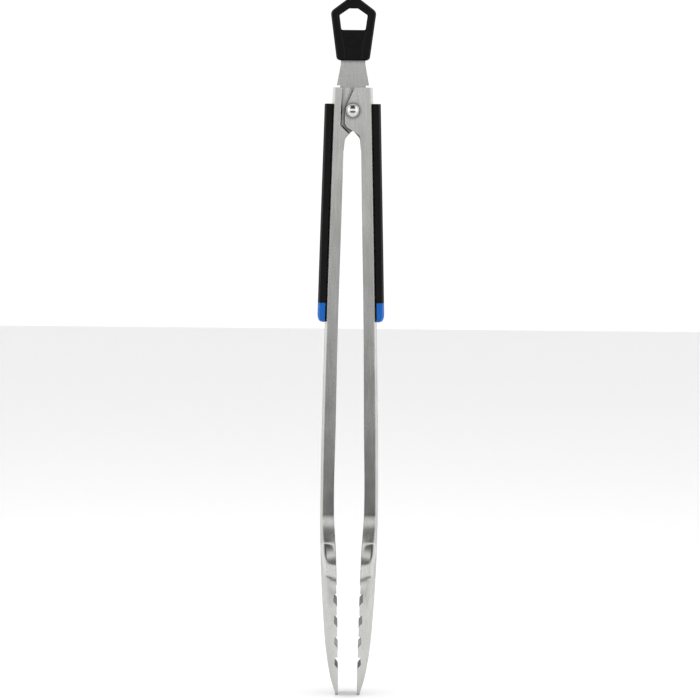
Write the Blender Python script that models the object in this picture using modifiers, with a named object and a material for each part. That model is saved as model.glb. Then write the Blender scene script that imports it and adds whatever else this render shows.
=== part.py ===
"""Spring loaded kitchen tongs with a pull-tab lock, in metres, +Z up.

The tongs hang from the loop's opening, jaws down, with the tab pulled out so that the jaws are
locked almost shut. The origin is the hang face, the flat under the loop's top bar. X runs from the
left arm to the right arm, and Y along the pivot pin, with the pin's domed head at the front, -Y.

Both arms are the same bent sheet. The right one is built round the pivot axis, and the left one is
the same mesh turned half a turn about Z, which puts its joggled ear behind the right arm's ear.
"""

from math import atan2, cos, pi, radians, sin, tan

import bmesh
import bpy
from mathutils import Matrix, Vector

# Driving dimensions ------------------------------------------------------------------------------

CLEARANCE = 0.0003  # between pieces that touch or slide

PIVOT_TO_TIP = 0.3853
PIVOT_TO_HANG_FACE = 0.0660

# Arms: a channel of bent sheet, open towards the other arm, with a deeper scoop for a jaw.
SHEET = 0.0010
CHANNEL_WIDTH = 0.0240
CHANNEL_BEND = 0.0022
INNER_BEND = 0.0003  # the sharpest that the sheet is bent, inside
ARM_TOP = 0.0149  # above the pivot
BACK_AT_PIVOT = 0.01355  # from the centre plane to the back's outer face
JAW_WIDTH = 0.0376
JAW_BEND = 0.0050
TIP_WIDTH = 0.0100
TIP_GAP = 0.0126  # between the two locked jaws
TIP_HOLLOW = 0.0007  # how deep the scoop still is at its very tip

# Ears: the flanges' tops, which lap over each other round the pin.
EAR_REACH = 0.0050  # past the pivot, away from the arm's own back
EAR_SHOULDER = 0.0010  # above the pivot, where the slanted top edge ends
EAR_SHOULDER_RADIUS = 0.0040
EAR_LOBE = -0.0100  # the lobe's lower corner, before it is rounded
EAR_LOBE_RADIUS = 0.0048
JOGGLE_AT_TOP = 0.0067  # the joggle's place, from the centre plane
JOGGLE_AT_KNEE = 0.0077
JOGGLE_RUN = 0.0012

# Notches in the jaw's rims, which grip the food.
NOTCH_COUNT = 4
NOTCH_PITCH = 0.0143
NOTCH_TOP_FROM_TIP = 0.0697
NOTCH_LENGTH = 0.0080
NOTCH_DEPTH = 0.0022
NOTCH_WALL = 0.0052  # how far its inner wall runs before it slants back to the rim
NOTCH_UNDERCUT = 0.0005  # how much deeper that wall is at its foot

# Pivot pin and what is threaded on it.
PIN_RADIUS = 0.00275
DOME_RADIUS = 0.00365
DOME_HEIGHT = 0.0020
DOME_EDGE = 0.0004  # the head's straight edge, below the dome
CAP_RADIUS = 0.0042
WASHER_RADIUS = 0.0044
WASHER_THICKNESS = 0.0007
SPACER_RADIUS = 0.0043

# Torsion springs, one on each side of the lock plate.
WIRE = 0.0016
COIL_RADIUS = 0.0060
COIL_TURNS = 3
SPRING_LEG = 0.0310  # how far below the pivot the legs end
LEG_GAP = 0.0006  # from a leg's end to the arm's back

# Lock plate, which slides between the arms and carries the loop.
PLATE_THICKNESS = 0.0018
PLATE_SHOULDER = 0.0106  # half its widest width, where it blocks the arms' tops
PLATE_TANG = 0.0080  # half its width inside the loop, down to where it starts to widen
TANG_FOOT = 0.0300  # above the pivot, in the locked position
PLATE_NECK = 0.0084
PLATE_TOP_FROM_HOLE = 0.0045  # from the loop's opening to the plate's end
PLATE_FOOT = 0.0050  # below the slot
SHOULDER_HEIGHT = 0.0160  # above the pivot, in the locked position
SHOULDER_RISE = 0.0004  # from the shoulder's tip to the neck
TAB_TRAVEL = 0.0080

# Hang loop.
LOOP_THICKNESS = 0.0086
LOOP_BAR = 0.0058
LOOP_TOP = 0.0044  # half widths
LOOP_SHOULDER = 0.0149
LOOP_FOOT = 0.0107
LOOP_SHOULDER_DROP = 0.0021  # below the hang face
LOOP_LENGTH = 0.0394
HOLE_LENGTH = 0.0139
HOLE_SHOULDER = 0.0091
HOLE_SHOULDER_DROP = 0.0043
HOLE_FOOT = 0.0078
HANG_FLAT = 0.0028  # half the hang face's width
LOOP_CHAMFER = 0.0010

# Grips: a saddle over each arm's back, with a coloured end on a thin tongue.
GRIP_TOP = 0.0043  # above the pivot
GRIP_LENGTH = 0.1417
GRIP_END_LENGTH = 0.0126
GRIP_HEIGHT = 0.0050
GRIP_LAP = 0.0004  # how far its side walls reach past the back's face
GRIP_WALL = 0.0010
GRIP_CHAMFER = 0.0020
GRIP_TOP_EDGE = 0.0003
TONGUE_HEIGHT = 0.0011
TONGUE_CHAMFER = 0.0002
END_WALL = 0.0005  # the coloured end's side walls, over the tongue
TONGUE_JOIN = 0.0030  # how far the tongue runs up inside the handle
RIVET_RADIUS = 0.0016
RIVET_HEAD_RADIUS = 0.0030
RIVET_HEAD = 0.0008
RIVET_BITE = 0.0028
RIVET_DROPS = {"upper": 0.0450, "lower": 0.1150}  # below the pivot

# Worked out from them ----------------------------------------------------------------------------

PIVOT_Z = -PIVOT_TO_HANG_FACE
HALF_CHANNEL = CHANNEL_WIDTH / 2
PIN_HOLE = PIN_RADIUS + CLEARANCE
JOGGLE_DEPTH = SHEET + CLEARANCE
EAR_ROOM = HALF_CHANNEL - JOGGLE_DEPTH - SHEET  # from the centre to the joggled ear
PLATE_SIDE = PLATE_THICKNESS / 2 + CLEARANCE
HALF_GRIP = HALF_CHANNEL + CLEARANCE + GRIP_WALL


def from_tip(height):
    """A height above the tip, measured from the pivot as every arm height is."""
    return height - PIVOT_TO_TIP


def through(stations, height):
    """A smooth curve through (height, value) stations listed from the top down."""
    if height >= stations[0][0]:
        return stations[0][1]
    for k in range(len(stations) - 1):
        (top, above), (bottom, below) = stations[k], stations[k + 1]
        if height < bottom:
            continue
        span = top - bottom
        chord = (above - below) / span

        def slope(i, j):
            """The neighbouring chord's slope, or this chord's where there is no neighbour."""
            if i < 0 or j >= len(stations):
                return chord
            return (stations[i][1] - stations[j][1]) / (stations[i][0] - stations[j][0])

        slope_below = (chord + slope(k + 1, k + 2)) / 2
        slope_above = (chord + slope(k - 1, k)) / 2
        t = (height - bottom) / span
        ease = t * t * (3 - 2 * t)
        bend_below = slope_below * span * t * (1 - t) ** 2
        bend_above = slope_above * span * t * t * (1 - t)
        return below + (above - below) * ease + bend_below - bend_above
    return stations[-1][1]


# The back's outer face, from the centre plane.
BACK = [
    (ARM_TOP, BACK_AT_PIVOT - 0.00055),
    (-0.1395, BACK_AT_PIVOT + 0.00345),
    (from_tip(0.1638), BACK_AT_PIVOT + 0.00500),
    (from_tip(0.1165), BACK_AT_PIVOT + 0.00530),
    (from_tip(0.0937), BACK_AT_PIVOT + 0.00485),
    (from_tip(0.0580), BACK_AT_PIVOT + 0.00305),
    (from_tip(0.0316), BACK_AT_PIVOT + 0.00090),
    (from_tip(0.0115), 0.0111),
    (from_tip(0.0020), 0.0084),
    (from_tip(0.0), TIP_GAP / 2 + SHEET + TIP_HOLLOW),
]
# The flanges' inner edges, from the centre plane.
RIM = [
    (-0.0260, 0.0058),
    (-0.0690, 0.0067),
    (-0.1426, 0.00845),
    (from_tip(0.1797), 0.00930),
    (from_tip(0.1165), 0.00990),
    (from_tip(0.0937), 0.00850),
    (from_tip(0.0713), 0.00780),
    (from_tip(0.0316), 0.00670),
    (from_tip(0.0), TIP_GAP / 2),
]
# Half the width across the flanges.
HALF_WIDTH = [
    (from_tip(0.1160), HALF_CHANNEL),
    (from_tip(0.1038), HALF_CHANNEL + 0.0009),
    (from_tip(0.0917), JAW_WIDTH / 2 - 0.0018),
    (from_tip(0.0795), JAW_WIDTH / 2),
    (from_tip(0.0580), JAW_WIDTH / 2 - 0.0003),
    (from_tip(0.0386), JAW_WIDTH / 2 - 0.0020),
    (from_tip(0.0180), JAW_WIDTH / 2 - 0.0065),
    (from_tip(0.0055), TIP_WIDTH / 2 + 0.0030),
    (from_tip(0.0), TIP_WIDTH / 2),
]
# The outer radius of the bend between the back and a flange.
BEND = [
    (from_tip(0.1160), CHANNEL_BEND),
    (from_tip(0.0795), JAW_BEND),
    (from_tip(0.0316), JAW_BEND * 0.9),
    (from_tip(0.0), SHEET * 0.8),
]
EAR_FOOT = -0.0240  # the flanges reach across the centre above here, until the ears are cut
ARCH_FOOT = -0.0262  # the cut meets the channel's own rim here
EAR_KNEE = -0.0094  # the joggle turns in here, at 45 degrees
JOGGLE_FOOT = -0.0190  # past the arch under the ears, so the cut leaves none of its end
EAR_OVERREACH = 0.0017  # how much of the sheet past the ears is cut away
ARM_STATIONS = [
    *[ARM_TOP, EAR_KNEE, JOGGLE_FOOT, EAR_FOOT, RIM[0][0], RIM[1][0], -0.1395],
    *[from_tip(h) for h in (0.1797, 0.1420, 0.1220, 0.1160, 0.1100, 0.1038, 0.0977)],
    *[from_tip(h) for h in (0.0917, 0.0856, 0.0795, 0.0690, 0.0580, 0.0446, 0.0316)],
    *[from_tip(h) for h in (0.0210, 0.0125, 0.0065, 0.0025, 0.0)],
]

# Helpers -----------------------------------------------------------------------------------------

for leftover in list(bpy.data.objects):
    bpy.data.objects.remove(leftover, do_unlink=True)
PARTS = bpy.data.collections.new("kitchen_tongs")
CUTTERS = bpy.data.collections.new("cutters")
CUTTERS.hide_render = True
for collection in (PARTS, CUTTERS):
    bpy.context.scene.collection.children.link(collection)


def finish(name, colour, roughness, metallic=0.0):
    """A plain Principled material."""
    made = bpy.data.materials.new(name)
    made.use_nodes = True
    shader = made.node_tree.nodes["Principled BSDF"]
    shader.inputs["Base Color"].default_value = (*colour, 1.0)
    shader.inputs["Roughness"].default_value = roughness
    shader.inputs["Metallic"].default_value = metallic
    return made


STEEL = finish("brushed_steel", (0.58, 0.58, 0.57), 0.36, 1.0)
POLISHED = finish("polished_steel", (0.72, 0.72, 0.72), 0.12, 1.0)
BLACK = finish("black_plastic", (0.012, 0.012, 0.013), 0.42)
BLUE = finish("blue_plastic", (0.0, 0.155, 0.64), 0.38)
NYLON = finish("white_nylon", (0.72, 0.71, 0.67), 0.5)


def add_mesh(name, material, mesh, group=PARTS):
    """Names a mesh, gives it its material and puts it in the scene as an object."""
    mesh.name = name
    mesh.materials.clear()
    if material:
        mesh.materials.append(material)
    made = bpy.data.objects.new(name, mesh)
    group.objects.link(made)
    if group is CUTTERS:
        made.hide_render = True
        made.display_type = "WIRE"
    return made


def flatten(made):
    """The object's evaluated shape as a plain mesh in world space, in place of the object."""
    bpy.context.view_layer.update()
    graph = bpy.context.evaluated_depsgraph_get()
    mesh = bpy.data.meshes.new_from_object(made.evaluated_get(graph), depsgraph=graph)
    mesh.transform(made.matrix_world)
    bpy.data.objects.remove(made)
    work = bmesh.new()
    work.from_mesh(mesh)
    bmesh.ops.remove_doubles(work, verts=work.verts, dist=1e-6)
    bmesh.ops.recalc_face_normals(work, faces=work.faces)
    if work.calc_volume(signed=True) < 0:
        bmesh.ops.reverse_faces(work, faces=work.faces)
    work.to_mesh(mesh)
    work.free()
    return mesh


def outline_solid(name, corners, depth, material=None, group=PARTS, y=0.0):
    """A flat piece: an outline in the X-Z plane, extruded along Y about y."""
    data = bpy.data.curves.new(name, "CURVE")
    data.dimensions = "2D"
    data.fill_mode = "BOTH"
    data.extrude = depth / 2
    spline = data.splines.new("POLY")
    spline.points.add(len(corners) - 1)
    for point, (x, z) in zip(spline.points, corners):
        point.co = (x, z, 0.0, 1.0)
    spline.use_cyclic_u = True
    made = bpy.data.objects.new(name, data)
    made.matrix_world = Matrix.Translation((0, y, 0)) @ Matrix.Rotation(pi / 2, 4, "X")
    group.objects.link(made)
    return add_mesh(name, material, flatten(made), group)


def rounded(corners, steps=3):
    """An outline whose (x, z, radius) corners are rounded by arcs."""
    points = []
    for k, (x, z, radius) in enumerate(corners):
        here = Vector((x, z))
        if not radius:
            points.append(here)
            continue
        to_last = (Vector(corners[k - 1][:2]) - here).normalized()
        to_next = (Vector(corners[(k + 1) % len(corners)][:2]) - here).normalized()
        half = to_last.angle(to_next) / 2
        centre = here + (to_last + to_next).normalized() * radius / sin(half)
        start = here + to_last * radius / tan(half) - centre
        end = here + to_next * radius / tan(half) - centre
        first = atan2(start.y, start.x)
        sweep = (atan2(end.y, end.x) - first + pi) % (2 * pi) - pi
        for step in range(steps + 1):
            angle = first + sweep * step / steps
            points.append(centre + Vector((cos(angle), sin(angle))) * radius)
    return points


def mirrored(half):
    """A closed outline from the corners on its +X side, listed from the top down."""
    return [*half, *[(-x, z, radius) for x, z, radius in reversed(half)]]


def rod(name, radius, start, end, material=None, group=CUTTERS, sides=24):
    """A cylinder between two points on a line along X or Y."""
    start, end = Vector(start), Vector(end)
    work = bmesh.new()
    bmesh.ops.create_cone(
        work,
        cap_ends=True,
        segments=sides,
        radius1=radius,
        radius2=radius,
        depth=(end - start).length,
    )
    turn = Vector((0, 0, 1)).rotation_difference(end - start).to_matrix().to_4x4()
    work.transform(Matrix.Translation((start + end) / 2) @ turn)
    mesh = bpy.data.meshes.new(name)
    work.to_mesh(mesh)
    work.free()
    return add_mesh(name, material, mesh, group)


def turned_on_pin(name, profile, material, sides=24):
    """A piece turned about the pin's axis from (radius, y) points, from its -Y end to its +Y end."""
    mesh = bpy.data.meshes.new(name)
    closed = profile[0][0] > 0
    edges = [(k, k + 1) for k in range(len(profile) - 1)]
    if closed:
        edges.append((len(profile) - 1, 0))
    mesh.from_pydata([(r, 0.0, -y) for r, y in profile], edges, [])
    made = bpy.data.objects.new(name, mesh)
    PARTS.objects.link(made)
    screw = made.modifiers.new("turn", "SCREW")
    screw.axis = "Z"
    screw.steps = screw.render_steps = sides
    screw.use_merge_vertices = True
    screw.merge_threshold = 0.00002
    made.matrix_world = Matrix.Rotation(pi / 2, 4, "X")
    made = add_mesh(name, material, flatten(made))
    smooth(made)
    return made


def smooth(made, angle=40):
    made.data.shade_smooth()
    made.data.set_sharp_from_angle(angle=radians(angle))


def cut(made, *cutters, operation="DIFFERENCE"):
    """Cuts the piece, or joins to it, and keeps the result as its mesh."""
    for cutter in cutters:
        boolean = made.modifiers.new(cutter.name, "BOOLEAN")
        boolean.object = cutter
        boolean.operation = operation
    name, material = made.name, made.data.materials[0]
    group = made.users_collection[0]
    return add_mesh(name, material, flatten(made), group)


def loft(name, sections, material=None, group=PARTS):
    """A closed solid through closed sections of equal length, capped at both ends."""
    work = bmesh.new()
    rows = [[work.verts.new(point) for point in section] for section in sections]
    count = len(rows[0])
    for upper, lower in zip(rows, rows[1:]):
        for k in range(count):
            n = (k + 1) % count
            work.faces.new((upper[k], lower[k], lower[n], upper[n]))
    work.faces.new(rows[0])
    work.faces.new(rows[-1])
    bmesh.ops.recalc_face_normals(work, faces=work.faces)
    if work.calc_volume(signed=True) < 0:
        bmesh.ops.reverse_faces(work, faces=work.faces)
    mesh = bpy.data.meshes.new(name)
    work.to_mesh(mesh)
    work.free()
    return add_mesh(name, material, mesh, group)


# Arms --------------------------------------------------------------------------------------------


def joggle_line(height):
    """How far from the centre plane the joggle runs: steep above the knee, 45 degrees below it."""
    if height >= EAR_KNEE:
        share = (height - EAR_KNEE) / (ARM_TOP - EAR_KNEE)
        return JOGGLE_AT_KNEE + (JOGGLE_AT_TOP - JOGGLE_AT_KNEE) * share
    return JOGGLE_AT_KNEE - (EAR_KNEE - height)


def arm_section(height):
    """A closed section across the arm: its outer line from front to rear, and its inner line back."""
    back = through(BACK, height)
    side = through(HALF_WIDTH, height)
    in_ears = height >= EAR_FOOT
    rim = -EAR_REACH - EAR_OVERREACH if in_ears else through(RIM, height)
    step = min(back - SHEET - INNER_BEND - rim, 0.0012) / 3
    edge = [rim, rim + step, rim + 2 * step]
    depth = 0.0
    if height >= JOGGLE_FOOT:
        line = joggle_line(height)
        edge = [rim, line - JOGGLE_RUN / 2, line + JOGGLE_RUN / 2]
        depth = JOGGLE_DEPTH
    arc = [(sin(a), cos(a)) for a in (0, pi / 8, pi / 4, 3 * pi / 8, pi / 2)]
    section = []
    for inset in (0.0, SHEET):
        bend = max(min(through(BEND, height), (back - rim) / 2) - inset, INNER_BEND)
        x, y = back - inset - bend, side - inset - bend
        front = [(x + bend * s, -y - bend * c, height) for s, c in arc]
        rear = [(x + bend * s, y + bend * c, height) for s, c in reversed(arc)]
        outer = (edge[2], side - inset, height)
        joggled = [(x, side - inset - depth, height) for x in (edge[1], edge[0])]
        line = [(rim, inset - side, height), *front, *rear, outer, *joggled]
        section += line if inset == 0.0 else reversed(line)
    return section


def ear_outline(top_x, lobe):
    """What is cut away beside an ear: its slanted edge, its lobe and the arch below."""
    away = -EAR_REACH - 0.015
    above = ARM_TOP + 0.002
    return rounded(
        [
            (away, above, 0),
            (top_x, above, 0),
            (-EAR_REACH, EAR_SHOULDER, EAR_SHOULDER_RADIUS),
            (-EAR_REACH, EAR_LOBE, EAR_LOBE_RADIUS),
            *lobe,
            (through(RIM, ARCH_FOOT) - 0.0002, ARCH_FOOT, 0),
            (away, ARCH_FOOT, 0),
        ],
        steps=4,
    )


def make_arm():
    sheet = loft("arm", [arm_section(h) for h in ARM_STATIONS], STEEL)
    one_side = HALF_CHANNEL + 0.002
    outer_ear = ear_outline(0.0022, [(0.0050, -0.0162, 0.0016)])
    inner_ear = ear_outline(0.0032, [(0.0010, -0.0140, 0.0), (0.0048, -0.0184, 0.004)])
    cutters = [
        outline_solid("outer_ear_cut", outer_ear, one_side, None, CUTTERS, -one_side * 0.7),
        outline_solid("inner_ear_cut", inner_ear, one_side, None, CUTTERS, one_side * 0.7),
        rod("pin_hole", PIN_HOLE, (0, -one_side, 0), (0, one_side, 0)),
    ]
    for place, drop in RIVET_DROPS.items():
        back = through(BACK, -drop)
        hole = RIVET_RADIUS + CLEARANCE
        ends = (back - 0.004, 0, -drop), (back + 0.003, 0, -drop)
        cutters.append(rod(f"{place}_rivet_hole", hole, *ends, sides=16))
    for k in range(NOTCH_COUNT):
        top = from_tip(NOTCH_TOP_FROM_TIP - k * NOTCH_PITCH)
        foot = top - NOTCH_LENGTH
        wall_foot = top - NOTCH_WALL
        outside = through(RIM, foot) - NOTCH_DEPTH
        outline = [
            (outside, top),
            (through(RIM, top) + NOTCH_DEPTH - NOTCH_UNDERCUT, top),
            (through(RIM, wall_foot) + NOTCH_DEPTH, wall_foot),
            (through(RIM, foot), foot),
            (outside, foot),
        ]
        cutters.append(outline_solid(f"notch_{k + 1}", outline, JAW_WIDTH + 0.01, None, CUTTERS))
    return cut(sheet, *cutters).data


# Grips -------------------------------------------------------------------------------------------


def grip_section(height, low, high, chamfer, half=HALF_GRIP, walls=None):
    """A closed section over the arm's back: low and high are heights above the back's face.

    The walls are given as their inner half width and how far they reach past the face.
    """
    back = through(BACK, height)
    top = [(back + high, y, height) for y in (-half + chamfer, half - chamfer)]
    sides = [(back + high - chamfer, y, height) for y in (-half, half)]
    if not walls:
        base = [(back + low, y, height) for y in (half, -half)]
        return [sides[0], *top, sides[1], *base]
    inside, lap = walls
    rim = [(back - lap, y, height) for y in (half, inside, -inside, -half)]
    saddle = [(back + low, y, height) for y in (inside, -inside)]
    return [sides[0], *top, sides[1], *rim[:2], *saddle, *rim[2:]]


def make_grip():
    """The black moulding: the handle, and the thin tongue that carries the coloured end."""
    end = GRIP_TOP - GRIP_LENGTH
    shoulder = end + GRIP_END_LENGTH
    walls = (HALF_CHANNEL + CLEARANCE, GRIP_LAP)
    stations = [
        (GRIP_TOP, GRIP_HEIGHT - GRIP_TOP_EDGE),
        (GRIP_TOP - GRIP_TOP_EDGE, GRIP_HEIGHT),
        ((GRIP_TOP + shoulder) / 2, GRIP_HEIGHT),
        (shoulder, GRIP_HEIGHT),
    ]
    body = [grip_section(h, CLEARANCE, high, GRIP_CHAMFER, walls=walls) for h, high in stations]
    narrow = HALF_GRIP - END_WALL - CLEARANCE
    tongue = [
        grip_section(h, CLEARANCE, TONGUE_HEIGHT, TONGUE_CHAMFER, half=narrow)
        for h in (shoulder + TONGUE_JOIN, end)
    ]
    grip = loft("grip", body, BLACK)
    extra = loft("tongue", tongue, BLACK, CUTTERS)
    grip = cut(grip, extra, operation="UNION")
    bores = []
    for place, drop in RIVET_DROPS.items():
        back = through(BACK, -drop)
        ends = (back - 0.002, 0, -drop), (back + RIVET_BITE + CLEARANCE, 0, -drop)
        bores.append(rod(f"{place}_rivet_bore", RIVET_RADIUS + CLEARANCE, *ends, sides=16))
    return cut(grip, *bores).data


def make_grip_end():
    """The coloured end, rounded off below, which straddles the grip's tongue."""
    end = GRIP_TOP - GRIP_LENGTH
    low = TONGUE_HEIGHT + CLEARANCE
    stations = [
        (end + GRIP_END_LENGTH - CLEARANCE, GRIP_HEIGHT),
        (end + 0.0060, GRIP_HEIGHT),
        (end + 0.0020, GRIP_HEIGHT - 0.0008),
        (end + 0.0005, GRIP_HEIGHT - 0.0016),
        (end, GRIP_HEIGHT - 0.0024),
    ]
    sections = []
    for height, high in stations:
        chamfer = min(GRIP_CHAMFER, (high - low) / 2)
        walls = (HALF_GRIP - END_WALL, 0.0)
        sections.append(grip_section(height, low, high, chamfer, walls=walls))
    return loft("grip_end", sections, BLUE).data


def make_rivet(place, drop):
    """A flat-headed rivet that holds the grip, headed inside the channel."""
    inner = through(BACK, -drop) - SHEET - CLEARANCE
    name = f"{place}_grip_rivet"
    reach = through(BACK, -drop) + RIVET_BITE - CLEARANCE
    head_ends = (inner - RIVET_HEAD, 0, -drop), (inner, 0, -drop)
    shank_ends = (inner - RIVET_HEAD / 2, 0, -drop), (reach, 0, -drop)
    head = rod(name, RIVET_HEAD_RADIUS, *head_ends, STEEL, PARTS)
    shank = rod(f"{place}_shank", RIVET_RADIUS, *shank_ends, STEEL, CUTTERS, sides=16)
    return cut(head, shank, operation="UNION").data


# Pivot -------------------------------------------------------------------------------------------


def make_pin_parts():
    """The pin with its domed head, the rear cap, two washers and two spacers, about y = 0."""
    washer = HALF_CHANNEL + CLEARANCE
    head = washer + WASHER_THICKNESS + CLEARANCE
    shank_end = head + DOME_HEIGHT * 0.4

    def dome_of(radius):
        """The head's profile, from its crown to its edge, at the front end."""
        angles = [radians(d) for d in (70, 50, 30, 14, 0)]
        rise = DOME_HEIGHT - DOME_EDGE
        curve = [(radius * cos(a), -head - DOME_EDGE - rise * sin(a)) for a in angles]
        return [(0.0, -head - DOME_HEIGHT), *curve]

    dome = dome_of(DOME_RADIUS)
    shank = [(DOME_RADIUS, -head), (PIN_RADIUS, -head), (PIN_RADIUS, shank_end), (0.0, shank_end)]
    pin = turned_on_pin("pivot_pin", dome + shank, POLISHED)
    crown = [(r, -y) for r, y in reversed(dome_of(CAP_RADIUS))]
    socket = [(0.0, shank_end + CLEARANCE), (PIN_HOLE, shank_end + CLEARANCE), (PIN_HOLE, head)]
    cap = turned_on_pin("pivot_cap", [*socket, (CAP_RADIUS, head), *crown], POLISHED)

    def ring(name, bore, radius, start, end, material):
        profile = [(radius, start), (radius, end), (bore, end), (bore, start)]
        return turned_on_pin(name, profile, material)

    made = [pin, cap]
    for end, sign in (("front", -1), ("rear", 1)):
        for piece, bore, radius, low, high, material in (
            ("washer", PIN_HOLE, WASHER_RADIUS, washer, washer + WASHER_THICKNESS, POLISHED),
            ("spacer", PIN_HOLE, SPACER_RADIUS, PLATE_SIDE, EAR_ROOM - CLEARANCE, NYLON),
        ):
            start, stop = sorted((sign * low, sign * high))
            made.append(ring(f"{end}_{piece}", bore, radius, start, stop, material))
    return made


def make_spring(name, side):
    """A torsion spring: up one leg, over the pin in full turns, and down the other leg."""
    leg_end = Vector((through(BACK, -SPRING_LEG) - SHEET - WIRE / 2 - LEG_GAP, -SPRING_LEG))
    slope = atan2(leg_end.x - COIL_RADIUS, SPRING_LEG)
    turns = (pi - 2 * slope) + 2 * pi * COIL_TURNS
    near = PLATE_SIDE + WIRE / 2
    far = EAR_ROOM - CLEARANCE - WIRE / 2
    steps = 14 * COIL_TURNS + 6
    coil = []
    for k in range(steps + 1):
        angle = pi - slope - turns * k / steps
        y = near + (far - near) * k / steps
        coil.append((COIL_RADIUS * cos(angle), side * y, COIL_RADIUS * sin(angle)))
    start = (-leg_end.x, side * near, leg_end.y)
    end = (leg_end.x, side * far, leg_end.y)
    data = bpy.data.curves.new(name, "CURVE")
    data.dimensions = "3D"
    data.bevel_depth = WIRE / 2
    data.bevel_resolution = 1
    data.use_fill_caps = True
    spline = data.splines.new("POLY")
    points = [start, *coil, end]
    spline.points.add(len(points) - 1)
    for point, place in zip(spline.points, points):
        point.co = (*place, 1.0)
    made = bpy.data.objects.new(name, data)
    PARTS.objects.link(made)
    made = add_mesh(name, STEEL, flatten(made))
    smooth(made, 60)
    return made


# Lock tab ----------------------------------------------------------------------------------------


def plate_top():
    """The height above the pivot where the plate ends, inside the loop."""
    return PIVOT_TO_HANG_FACE - HOLE_LENGTH - PLATE_TOP_FROM_HOLE


def make_lock_plate():
    """A flat plate: a straight tang, a widening blade and a narrower neck, slotted for the pin."""
    half = [
        (PLATE_TANG, plate_top(), 0.001),
        (PLATE_TANG, TANG_FOOT, 0.004),
        (PLATE_SHOULDER, SHOULDER_HEIGHT, 0.0006),
        (PLATE_NECK, SHOULDER_HEIGHT + SHOULDER_RISE, 0),
        (PLATE_NECK, -PIN_HOLE - PLATE_FOOT, 0.003),
    ]
    plate = outline_solid("lock_plate", rounded(mirrored(half)), PLATE_THICKNESS, STEEL)
    slot = mirrored([(PIN_HOLE, PIN_HOLE + TAB_TRAVEL, 0.003), (PIN_HOLE, -PIN_HOLE, 0.003)])
    slot = outline_solid("pin_slot", rounded(slot), PLATE_THICKNESS * 3, None, CUTTERS)
    return cut(plate, slot)


def make_hang_loop():
    """The moulded loop, with a pocket below for the plate. Its heights are from the hang face."""
    outline = mirrored(
        [
            (LOOP_TOP, LOOP_BAR, 0.0012),
            (LOOP_SHOULDER, -LOOP_SHOULDER_DROP, 0.0038),
            (LOOP_FOOT, LOOP_BAR - LOOP_LENGTH, 0.0025),
        ]
    )
    hole = mirrored(
        [
            (HANG_FLAT, 0.0, 0),
            (HOLE_SHOULDER, -HOLE_SHOULDER_DROP, 0.0012),
            (HOLE_FOOT, -HOLE_LENGTH, 0.0018),
        ]
    )
    loop = outline_solid("hang_loop", rounded(outline), LOOP_THICKNESS, BLACK)
    edge = loop.modifiers.new("chamfer", "BEVEL")
    edge.width = LOOP_CHAMFER
    edge.limit_method = "ANGLE"
    edge.angle_limit = radians(60)
    top = plate_top() + CLEARANCE - PIVOT_TO_HANG_FACE
    below = LOOP_BAR - LOOP_LENGTH - PLATE_FOOT
    pocket = mirrored([(PLATE_TANG + CLEARANCE, height, 0) for height in (top, below)])
    pocket = [(x, height) for x, height, _ in pocket]
    deep = 3 * LOOP_THICKNESS
    return cut(
        loop,
        outline_solid("hang_hole", rounded(hole), deep, None, CUTTERS),
        outline_solid("plate_pocket", pocket, PLATE_THICKNESS + 2 * CLEARANCE, None, CUTTERS),
    )


# Assembly ----------------------------------------------------------------------------------------


def axis_empty(name, location, turn=0.0):
    made = bpy.data.objects.new(name, None)
    made.location = location
    made.rotation_euler.z = turn
    PARTS.objects.link(made)
    return made


def hang_on(parent, *pieces):
    """Pieces built about the pivot move to it with the empty that stands on its axis."""
    for piece in pieces:
        piece.parent = parent


PIVOT = (0.0, 0.0, PIVOT_Z)
hang_on(
    axis_empty("pivot_axis", PIVOT),
    *make_pin_parts(),
    make_spring("front_spring", -1),
    make_spring("rear_spring", 1),
)

shared = {
    "arm": make_arm(),
    "grip": make_grip(),
    "grip_end": make_grip_end(),
    **{f"{place}_grip_rivet": make_rivet(place, drop) for place, drop in RIVET_DROPS.items()},
}
for made in list(PARTS.objects):
    if made.name in shared:
        bpy.data.objects.remove(made)
for side, turn in (("right", 0.0), ("left", pi)):
    parent = axis_empty(f"{side}_arm_axis", PIVOT, turn)
    for name, mesh in shared.items():
        copy = bpy.data.objects.new(f"{side}_{name}", mesh)
        PARTS.objects.link(copy)
        hang_on(parent, copy)
        smooth(copy, 35)

hang_on(axis_empty("tab_slide", PIVOT), make_lock_plate())
make_hang_loop()
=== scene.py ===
"""The finished look of a pair of long locking kitchen tongs: brushed steel arms, black grips with
blue ends, a moulded hang loop on a sliding lock plate, and a domed pin with two torsion springs.

Sizes are in metres. Heights along the arms are measured from the pivot's axis, and heights on the
loop from the hang face, which is the origin. Pieces of the right arm are built round the pivot at
+X, and the left ones are the same shapes turned half a turn about Z.
"""

from math import atan2, cos, pi, radians, sin, tan

import bmesh
import bpy
from mathutils import Matrix, Vector


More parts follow.
